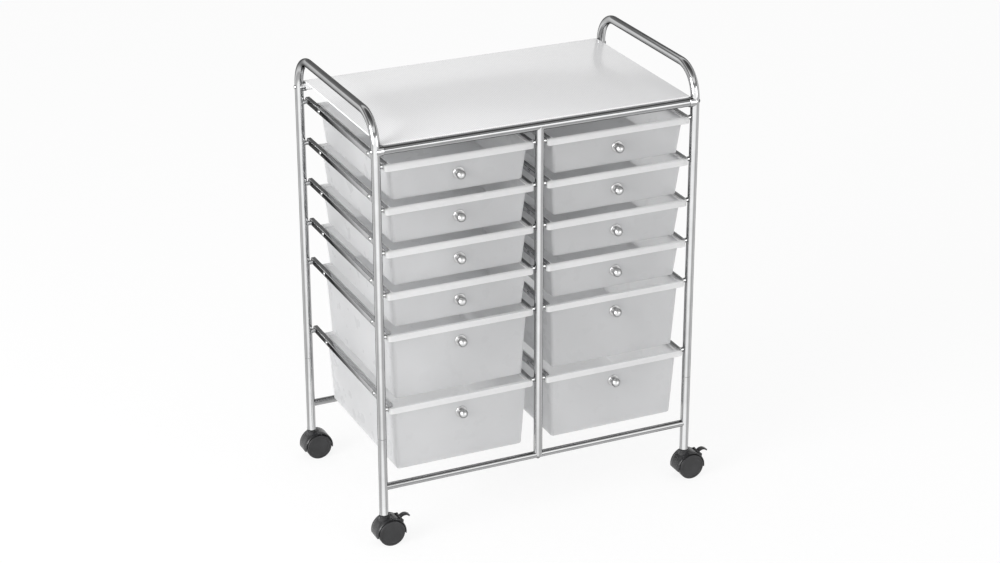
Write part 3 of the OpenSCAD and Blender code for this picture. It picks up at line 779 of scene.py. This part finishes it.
def channel_outline(sign):
    """Closed outline of the bent channel in (x, z), from the web outward; open towards sign."""
    half_h = channel_h / 2
    inner_r = channel_bend_r - channel_t
    edge = channel_edge
    web = tube_r + web_gap
    tip = web + channel_w
    bend_x = web + channel_bend_r
    bend_z = half_h - channel_bend_r
    steps = 4
    outside = [(tip, half_h - edge), (tip - edge, half_h)]
    outside += arc(bend_x, bend_z, channel_bend_r, 90, 180, steps)
    outside += arc(bend_x, -bend_z, channel_bend_r, 180, 270, steps)
    outside += [(tip - edge, -half_h), (tip, -half_h + edge), (tip, -half_h + channel_t - edge / 2),
                (tip - edge / 2, -half_h + channel_t)]
    inside = arc(bend_x, -bend_z, inner_r, 270, 180, steps)
    inside += arc(bend_x, bend_z, inner_r, 180, 90, steps)
    inside += [(tip - edge / 2, half_h - channel_t), (tip, half_h - channel_t + edge / 2)]
    return [(sign * x, z) for x, z in outside + inside]


def add_runner(shape, x, z, sign, y0, y1):
    """A channel beside a post at x, open towards sign, with its two rivets."""
    nick = 0.3 * MM
    web = tube_r + web_gap
    middle = sign * (web + channel_w / 2)
    rings = []
    for y, inset in ((y0, nick), (y0 + nick, 0), (y1 - nick, 0), (y1, nick)):
        rings.append([(x + px - (px - middle) * inset / channel_w, y, z + pz * (1 - 2 * inset / channel_h))
                      for px, pz in channel_outline(sign)])
    shape.loft(rings)
    dome = [(0, web - rivet_h)]
    dome += [(rivet_r * across, web - rivet_h * height) for across, height in rivet_shape]
    dome += [(rivet_r, web), (0, web)]
    for y in (y0 + front_rivet_inset, y1 - back_rivet_inset):
        shape.lathe(dome, beside(x, y, z, sign), 24)


def add_spacers(shape, x, z, sign):
    """The front and rear spacers behind one runner, shaped to the posts at one end."""
    spacer_y = half_y - spacer_r + runner_front
    points = circle(spacer_r, 24)
    waist = circle(spacer_r - 0.35 * MM, 24)
    for y, post_y in ((-spacer_y, -half_y), (spacer_y, half_y)):
        rings = [[(u, v, saddle(tube_r + 0.1 * MM, v - (post_y - y))) for u, v in points],
                 raised(waist, tube_r + 0.45 * web_gap), raised(points, tube_r + web_gap)]
        shape.loft(rings, beside(x, y, z, sign))


def runner_heights():
    """Middle height of each runner, worked out from the drawers' rim tops."""
    rim_to_middle = channel_h / 2 - channel_t - rim_play
    return [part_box("drawer_left_%d" % level)[1].z - rim_to_middle for level in LEVELS]


def make_runners():
    low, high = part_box("runners_left")
    groups = {"left": [(left_x, 1)], "centre": [(middle_x, -1), (middle_x, 1)], "right": [(right_x, -1)]}
    spacers = Shape()
    for group, places in groups.items():
        shape = Shape()
        for x, sign in places:
            for z in runner_heights():
                add_runner(shape, x, z, sign, low.y, high.y)
                add_spacers(spacers, x, z, sign)
        piece("channels_" + group, shape, RUNNER_CHROME, "frame", ["runners_" + group])
    piece("runner_spacers", spacers, RUNNER_CHROME, "frame", ["frame_fasteners"])


# Drawers. A drawer's own origin is the middle of its lip's front face, at the rim top.

def bin_ring(half, y0, y1, r, ear, shoulder, z_front, z_rest):
    """One level ring of a drawer. The front stretch can be wider by an ear and lie lower than the rest."""
    steps = 7
    right = raised(arc(half + ear - r, y0 + r, r, -90, 0, steps), z_front)
    right.append((half + ear, shoulder[0], z_front))
    right.append((half, shoulder[1], z_rest))
    right += raised(arc(half - r, y1 - r, r, 0, 90, steps), z_rest)
    left = [(-x, y, z) for x, y, z in reversed(right)]
    return right + left


class Bin:
    """Rings of one drawer's skin, from under its floor, up and over the rim, and down inside."""

    def __init__(self, height, lip_half):
        self.height = height
        self.rim_half = lip_half - rim_step
        self.body_half = lip_half - body_step

    def body(self, depth, inset, z=None):
        """A ring of the tapered body as it is at a depth, drawn in by an inset, at that depth or at z."""
        share = depth / self.height
        half = self.body_half - side_draft * share - inset
        front = lip_overhang + front_draft * share + inset
        rear = lip_overhang + body_length - rear_draft * share - inset
        r = max(body_corner_r - inset, body_corner_r / 3)
        z = -depth if z is None else z
        return bin_ring(half, front, rear, r, 0, body_shoulder, z, z)

    def rim(self, inset, z_front, z_rest):
        """A ring of the rim with its wider front lip, drawn in by an inset."""
        shoulder = (lip_end - inset, lip_end + rim_step - inset)
        r = max(rim_corner_r - inset, rim_inner_r)
        return bin_ring(self.rim_half - inset, inset, rim_length - inset, r, rim_step, shoulder,
                        z_front, z_rest)

    def outside(self):
        rings = [self.body(self.height - foot_round * come, foot_inset * left) for come, left in rounding(5)]
        for drop, flare in ((1.2 * MM, 0), (0.3 * MM, 0.3 * MM), (0, 1.2 * MM)):
            rings.append(self.body(rim_plate + drop, -flare))
        return rings

    def round_rim(self):
        fillet = 0.8 * MM
        rings = [self.rim(rim_skirt + fillet, -rim_plate, -rim_plate),
                 self.rim(rim_skirt, -rim_plate - fillet, -rim_plate - fillet)]
        for inset, lift in ((rim_skirt, rim_edge), (rim_skirt - rim_edge, 0), (rim_edge, 0), (0, rim_edge)):
            rings.append(self.rim(inset, lift - lip_drop, lift - rim_h))
        for come, left in rounding(4):
            rings.append(self.rim(rim_top_r * come, -rim_top_r * left, -rim_top_r * left))
        return rings

    def inside(self):
        rings = []
        for come, left in rounding(3):
            rings.append(self.body(0, bin_wall - rim_inner_r * left, -rim_inner_r * come))
        floor_depth = self.height - bin_floor
        for come, left in rounding(5):
            rings.append(self.body(floor_depth - foot_round * left, bin_wall + foot_inset * come))
        return rings


def make_drawers():
    for side in SIDES:
        for level in LEVELS:
            name = "%s_%d" % (side, level)
            node = "drawer_" + name
            low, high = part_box(node)
            origin = at((low.x + high.x) / 2, low.y, high.z)
            height = high.z - low.z
            skin = Bin(height, (high.x - low.x) / 2)
            shape = Shape()
            shape.loft(skin.outside() + skin.round_rim() + skin.inside(), origin)
            made = piece("bin_" + name, shape, FROSTED, node, [node], BIN_CREASE)
            paint_rim_lighter(made.data, high.z)
            make_knob(name, origin, height)


def paint_rim_lighter(data, top_z):
    """Paints light on a drawer's rim and lip, down to the lip's edge but not the bin's floor, with a
    brighter copy of the plastic.
    """
    data.materials.append(RIM_PAINTED_LIGHT)
    for polygon in data.polygons:
        # Painted light: faces that don't look up get the brighter copy, and faces that look up stay darker
        if polygon.center.z > top_z - lip_drop - 0.2 * MM and polygon.normal.z < 0.7:
            polygon.material_index = 1


def knob_profile():
    """Half section of the knob, from the middle of its foot round the ball to the top."""
    bevel_r = foot_r - foot_bevel
    bevel_z = foot_t * 1.05
    profile = [(0, 0), (foot_r - 0.5 * MM, 0), (foot_r, 0.4 * MM), (foot_r, foot_t * 0.55),
               (foot_r - 0.5 * MM, foot_t * 0.9), (bevel_r, bevel_z)]
    waist_z = max(ball_reach - sqrt(ball_r ** 2 - neck_r ** 2), foot_t * 1.2)
    for come, left in rounding(4)[1:]:
        profile.append((neck_r + (bevel_r - neck_r) * left, bevel_z + (waist_z - bevel_z) * come))
    start = asin((waist_z - ball_reach) / ball_r)
    steps = 18
    for i in range(1, steps):
        x, z = on_circle(ball_r, start + (pi / 2 - start) * i / steps)
        profile.append((x, ball_reach + z))
    profile.append((0, ball_reach + ball_r))
    return profile


def knob_screw_profile(head_z):
    """Half section of the screw that holds a knob, from its head inside the drawer to the knob's foot."""
    seat_z = head_z + knob_head_h
    foot_z = -0.02 * MM
    return [(0, head_z), (knob_head_r * 0.5, head_z + 0.05 * MM), (knob_head_r * 0.85, head_z + 0.5 * MM),
            (knob_head_r, head_z + 1.2 * MM), (knob_head_r, seat_z), (knob_screw_r, seat_z),
            (knob_screw_r, foot_z), (0, foot_z)]


def make_knob(name, origin, height):
    lean = atan(front_draft / height)
    wall_y = lip_overhang + front_draft * knob_drop / height
    place = origin @ at(0, wall_y, -knob_drop) @ turned(90 + degrees(lean), "X")
    shape = Shape()
    shape.lathe(knob_profile(), place, 40)
    shape.lathe(knob_screw_profile(-bin_wall * cos(lean) - knob_head_h), place, 24)
    piece("ball_knob_" + name, shape, KNOB_METAL, "drawer_" + name, ["knob_" + name])


# Casters, which trail towards +X at rest. Wheels, hoods and levers turn round axles along Y.

def wheel_profile(width):
    """Half section of a wheel, from its axis behind the cap, by its bore and round. z = 0 faces the web."""
    bore = axle_r + axle_play
    hub = axle_r + 3.5 * MM
    rim_in = wheel_r - 5 * MM
    face_r = wheel_r - 4 * MM
    tread_r = wheel_r - wheel_edge_r
    edge = 0.4 * MM
    groove = wheel_groove
    profile = [(0, width - wheel_cap_t), (bore, width - wheel_cap_t), (bore, 0), (hub, 0), (hub, width / 2),
               (rim_in, width / 2), (rim_in, edge), (rim_in + edge, 0)]
    profile += arc(tread_r, wheel_edge_r, wheel_edge_r, -90, 0, 5)
    profile += arc(tread_r, width - wheel_edge_r, wheel_edge_r, 0, 90, 5)
    profile += [(face_r + 0.5 * MM, width), (face_r, width - 0.25 * MM), (face_r - 0.2 * MM, width - groove),
                (face_r - 1.2 * MM, width - groove), (face_r - 1.8 * MM, width - groove * 0.5)]
    for share in (0.8, 0.6, 0.4, 0.2):
        profile.append((face_r * share, width - groove * 0.5 * share ** 2))
    return profile + [(0, width - 0.02 * MM)]


def make_wheels(name, axle):
    for which in ("outer", "inner"):
        node = "caster_%s_wheel_%s" % (name, which)
        low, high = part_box(node)
        facing = 1 if (low.y + high.y) / 2 > axle.y else -1
        inner_y = low.y if facing > 0 else high.y
        place = at(axle.x, inner_y, axle.z) @ turned(-90 * facing, "X")
        shape = Shape()
        shape.lathe(wheel_profile(high.y - low.y), place, 64)
        piece("wheel_%s_%s" % (name, which), shape, WHEEL_BLACK, node, [node])


def hood_r(angle):
    """Distance from the axle to the hood's outer arc, whose middle lies a little below."""
    a = radians(angle)
    return -hood_drop * sin(a) + sqrt(hood_outer_r ** 2 - (hood_drop * cos(a)) ** 2)


def cut_angle(r, end_angle):
    """Angle at which the sloping cut at a hood's end passes a radius."""
    top = Vector((0, hood_cut_rise))
    along = Vector(on_circle(hood_outer_r, radians(end_angle))) - top
    a = along.dot(along)
    b = 2 * top.dot(along)
    c = top.dot(top) - r * r
    t = (-b + sqrt(b * b - 4 * a * c)) / (2 * a)
    point = top + along * t
    angle = degrees(atan2(point.y, point.x))
    return angle + 360 if end_angle > 180 and angle < 0 else angle


def hood_section(angle, inner_r):
    """Closed section of the hood across its width, as (radius, y): round shoulders and shallow grooves."""
    outer = hood_r(angle)
    r = hood_shoulder_r
    side = hood_half_w - r
    half = [(inner_r, hood_half_w - 0.9 * MM)]
    for i in range(5):
        across, up = on_circle(r, radians(10 + 75 * i / 4))
        half.append((max(outer - r + up, inner_r + 0.1 * MM), side + across))
    half += [(outer, side - 0.4 * MM), (outer - hood_groove, side - 1.0 * MM),
             (outer - hood_groove, side - 1.6 * MM), (outer, side - 2.2 * MM), (outer, side / 2)]
    return half + [(radius, -y) for radius, y in reversed(half)]


def add_hood(shape, axle):
    steps = 40
    rings = []
    for i in range(steps + 1):
        share = i / steps
        section = []
        middle = hood_front_angle + (hood_back_angle - hood_front_angle) * share
        for radius, y in hood_section(middle, wheel_r + hood_gap):
            start = cut_angle(radius, hood_front_angle)
            end = cut_angle(radius, hood_back_angle)
            x, z = on_circle(radius, radians(start + (end - start) * share))
            section.append((x, y, z))
        rings.append(section)
    shape.loft(rings, at(*axle))


def add_web(shape, axle):
    """The plate between the wheels that carries the hood, with a round boss at the axle."""
    place = at(*axle) @ UPRIGHT
    plate = [(0, 0)] + arc(0, 0, wheel_r + hood_gap + 0.4 * MM, 0, web_back_angle, 30)
    shape.extrude(plate, -web_half, web_half, place)
    shape.lathe(disc_profile(web_boss_r, web_half, 0.4 * MM), place, 36)


def add_head(shape, name, swivel, axle):
    """The round head under the leg with a groove near its top, and the column from it to the web."""
    r = tube_r + head_margin
    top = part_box("caster_%s_housing" % name)[1].z
    low_z = axle.z + sqrt((wheel_r + hood_gap) ** 2 - (axle.x - swivel.x) ** 2) - 3 * MM
    place = at(swivel.x, swivel.y, 0)
    shape.lathe([(0, low_z), (r + 1.2 * MM, low_z), (r + 0.9 * MM, low_z + 3 * MM),
                 (r + 0.1 * MM, low_z + 5 * MM), (r, top - 2.4 * MM), (r - head_groove, top - 2.1 * MM),
                 (r - head_groove, top - 1.5 * MM), (r, top - 1.2 * MM), (r - 0.3 * MM, top - 0.3 * MM),
                 (r - 1 * MM, top), (0, top)], place, 48)
    column = plan_outline(-column_half, -web_half, column_half, web_half, 1 * MM, 3)
    shape.loft([raised(column, axle.z), raised(column, low_z + 1 * MM)], place)


def add_ears(shape, name, axle):
    """A cheek at each side of the lever's boss, rounded over the pivot, with the pin's cap on it."""
    pivot = JOINT_AT["caster_%s_brake_press" % name]
    x = pivot.x - axle.x
    z = pivot.z - axle.z
    out = degrees(atan2(z, x))
    base_r = wheel_r + hood_gap + 0.5 * MM
    outline = arc(x, z, lever_boss_r + ear_rim, out - 80, out + 80, 12)
    outline += arc(0, 0, base_r, out + ear_spread, out - ear_spread, 1)
    cap_t = 0.3 * MM
    cap = [(0, 0), (lever_pin_r, 0), (lever_pin_r, cap_t / 2), (lever_pin_r - cap_t, cap_t), (0, cap_t)]
    for sign in (-1, 1):
        middle = sign * (ear_half_w - ear_t / 2)
        shape.extrude(outline, -middle - ear_t / 2, -middle + ear_t / 2, at(*axle) @ UPRIGHT, 0.3 * MM)
        skin_y = pivot.y + sign * (ear_half_w - 0.1 * MM)
        shape.lathe(cap, at(pivot.x, skin_y, pivot.z) @ turned(-90 * sign, "X"), 20)


def make_housing(name, swivel, axle, braked):
    """Hood, web, column and round head in one moulding, with ears for a brake lever where the caster has
    one.
    """
    shape = Shape()
    add_hood(shape, axle)
    add_web(shape, axle)
    add_head(shape, name, swivel, axle)
    if braked:
        add_ears(shape, name, axle)
    node = "caster_%s_housing" % name
    piece("moulded_housing_" + name, shape, HOUSING_BLACK, "caster_" + name, [node])


def make_brake(name, axle):
    """Lever with its boss, shoe and curved foot tab, which carries grip ribs."""
    pivot = JOINT_AT["caster_%s_brake_press" % name]
    place = at(*pivot) @ UPRIGHT
    shape = Shape()
    shape.lathe(disc_profile(lever_boss_r, lever_half, 0.3 * MM), place, 28)
    shoe = degrees(atan2(axle.z - pivot.z, axle.x - pivot.x)) + shoe_turn
    outline = arc(*on_circle(shoe_reach, radians(shoe)), shoe_r, shoe - 90, shoe + 90, 8)
    outline += arc(0, 0, shoe_r, shoe + 90, shoe - 90, 1)
    shape.extrude(outline, -lever_half, lever_half, place)
    add_tab(shape, place)
    node = "caster_%s_brake" % name
    piece("brake_lever_" + name, shape, HOUSING_BLACK, node, [node])


def tab_section(share):
    """Section across the foot tab at a share of its length, as (radius, y). Its tip is thicker."""
    end = max(0.0, (share - tab_round_from) / (1 - tab_round_from))
    swell = min(1.0, max(0.0, (share - tab_bead_from) / (tab_round_from - tab_bead_from)))
    thick = (tab_t / 2 + tab_bead * swell) * sqrt(max(1 - end ** 2, 0.04))
    half_w = tab_w / 2 * (1 - 0.12 * end)
    rib = 0.0
    if tab_rib_from < share < tab_bead_from:
        rib = tab_rib_h * max(0.0, sin(share * tau * tab_rib_count))
    r = min(0.8 * MM, thick * 0.9)
    section = []
    for x, y in plan_outline(-thick, -half_w, thick, half_w, r, 3):
        on_rib = x > thick - 0.9 * r and abs(y) < half_w - 1.2 * r
        section.append((tab_curve_r + x + (rib if on_rib else 0.0), y))
    return section


def add_tab(shape, place):
    """The foot tab, swept on a curve that starts at the pivot."""
    start_x, start_z = on_circle(tab_curve_r, radians(tab_start_angle))
    rings = []
    steps = 44
    for i in range(steps + 1):
        a = radians(tab_start_angle - tab_curve_turn * i / steps)
        rings.append([(radius * cos(a) - start_x, radius * sin(a) - start_z, y)
                      for radius, y in tab_section(i / steps)])
    shape.loft(rings, place)


def make_socket(name, swivel):
    """Flanged plastic socket in the leg's end, of which a thin lip shows."""
    low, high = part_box("caster_sockets")
    edge = 0.3 * MM
    plug_r = tube_r - tube_wall
    profile = [(socket_bore, low.z), (tube_r - edge, low.z), (tube_r, low.z + edge), (tube_r, leg_z - edge),
               (tube_r - edge, leg_z), (plug_r, leg_z), (plug_r, high.z - 1 * MM), (plug_r - 1 * MM, high.z),
               (socket_bore, high.z)]
    shape = Shape()
    shape.lathe(profile, at(swivel.x, swivel.y, 0), 40)
    piece("stem_socket_" + name, shape, HOUSING_BLACK, "frame", ["caster_sockets"])


def make_casters():
    for end in ENDS:
        for side in SIDES:
            name = "%s_%s" % (end, side)
            swivel = JOINT_AT["caster_%s_swivel" % name]
            axle = JOINT_AT["caster_%s_wheel_outer_spin" % name]
            make_housing(name, swivel, axle, end == "front")
            make_wheels(name, axle)
            make_socket(name, swivel)
            if end == "front":
                make_brake(name, axle)
            for slot in frame["nodes"]["caster_%s_pins" % name].material_slots:
                slot.material = STEEL


# Camera, lamps, world and floor

CAMERA_AT = (middle_x - 1.712, -3.771, 2.192)
CAMERA_TILT = 66.47
CAMERA_ROLL = -0.09
CAMERA_YAW = -24.53
CAMERA_LENS = 86.74

# Strength of the light all round, and the share of the floor's own white that covers its shading
LIGHT_LEVEL = 0.80
FLOOR_GLOW = 0.86
FLOOR_REACH = 60

# The backdrop's grey by height, from straight down (-1) to straight up (1)
HEIGHT_STOPS = [(-1, 1.0), (0.28, 1.0), (0.36, 0.30), (0.52, 0.22), (0.58, 0.72), (0.74, 0.76), (0.84, 0.20),
                (1, 0.12)]

# Kinds of ray that see the white background in place of the light
SHOWN_RAYS = ("Is Camera Ray", "Is Glossy Ray", "Is Transmission Ray")


def make_camera():
    data = bpy.data.cameras.new("camera")
    data.lens = CAMERA_LENS
    data.sensor_width = 36
    made = bpy.data.objects.new("camera", data)
    bpy.context.scene.collection.objects.link(made)
    made.matrix_world = (at(*CAMERA_AT) @ turned(CAMERA_YAW, "Z") @ turned(CAMERA_TILT, "X")
                         @ turned(CAMERA_ROLL, "Z"))
    bpy.context.scene.camera = made


def add_lamp(name, place, size, power):
    """A round area lamp that looks at the middle of the cart."""
    data = bpy.data.lights.new(name, "AREA")
    data.shape = "DISK"
    data.size = size
    data.energy = power
    made = bpy.data.objects.new(name, data)
    bpy.context.scene.collection.objects.link(made)
    made.location = place
    target = Vector((0, 0, 0.4))
    made.rotation_euler = (target - Vector(place)).to_track_quat("-Z", "Y").to_euler()


def shown_rays(tree):
    """A value that is 1 for the rays that see the background and 0 for others."""
    path = tree.add("ShaderNodeLightPath")
    total = path.outputs[SHOWN_RAYS[0]]
    for name in SHOWN_RAYS[1:]:
        larger = tree.add("ShaderNodeMath", operation="MAXIMUM")
        tree.link(total, larger.inputs[0])
        tree.link(path.outputs[name], larger.inputs[1])
        total = larger.outputs[0]
    return total


def show_instead(tree, lit, shown, share, output):
    """Shows a shader, and for the rays that see the background another in its place, up to a share."""
    amount = tree.add("ShaderNodeMath", operation="MULTIPLY")
    amount.inputs[1].default_value = share
    tree.link(shown_rays(tree), amount.inputs[0])
    mix = tree.mixed(lit, shown, share)
    tree.link(amount.outputs[0], mix.inputs["Fac"])
    tree.show(mix, output)


def backdrop_colour(tree):
    """White all round and below, with a darker ceiling that has one wide soft light across it."""
    split = tree.add("ShaderNodeSeparateXYZ")
    tree.link(tree.add("ShaderNodeTexCoord").outputs["Generated"], split.inputs["Vector"])
    span = tree.add("ShaderNodeMapRange", From_Min=-1)
    tree.link(split.outputs["Z"], span.inputs["Value"])
    ramp = tree.add("ShaderNodeValToRGB")
    ramp.color_ramp.interpolation = "EASE"
    set_greys(ramp, [((height + 1) / 2, grey) for height, grey in HEIGHT_STOPS])
    tree.link(span.outputs["Result"], ramp.inputs["Fac"])
    return ramp.outputs["Color"]


def make_world():
    """Soft even light all round. The camera, metal and clear pieces see the backdrop in its place."""
    world = bpy.data.worlds.new("studio")
    bpy.context.scene.world = world
    tree = Tree(world)
    light = tree.nodes["Background"]
    light.inputs["Color"].default_value = (1, 1, 1, 1)
    light.inputs["Strength"].default_value = LIGHT_LEVEL
    backdrop = tree.add("ShaderNodeBackground", Strength=1.0)
    tree.link(backdrop_colour(tree), backdrop.inputs["Color"])
    show_instead(tree, light, backdrop, 1.0, "World Output")


def floor_material():
    """White for the rays that see the background, mixed with matt shading that keeps the cart's shadow."""
    material = bpy.data.materials.new("floor_white")
    tree = Tree(material)
    shader = tree.nodes["Principled BSDF"]
    shader.inputs["Base Color"].default_value = (0.9, 0.9, 0.9, 1)
    shader.inputs["Roughness"].default_value = 0.9
    shader.inputs["Specular IOR Level"].default_value = 0.0
    glow = tree.add("ShaderNodeEmission", Color=(1, 1, 1, 1), Strength=1.0)
    show_instead(tree, shader, glow, FLOOR_GLOW, "Material Output")
    return material


def make_floor():
    shape = Shape()
    corners = [(-FLOOR_REACH, -FLOOR_REACH), (FLOOR_REACH, -FLOOR_REACH), (FLOOR_REACH, FLOOR_REACH),
               (-FLOOR_REACH, FLOOR_REACH)]
    shape.bm.faces.new(shape.ring(raised(corners, 0), Matrix()))
    floor = loose("floor", shape)
    floor.data.materials.append(floor_material())


make_camera()
make_hoops()
make_legs()
make_bars()
make_screws()
make_collars()
make_panel()
make_runners()
make_drawers()
make_casters()
make_world()
make_floor()
add_lamp("key", (-2.9, -0.9, 1.3), 2.0, 80)
add_lamp("fill", (1.4, -2.8, 1.0), 1.8, 16)

bpy.context.scene.view_settings.view_transform = "Standard"
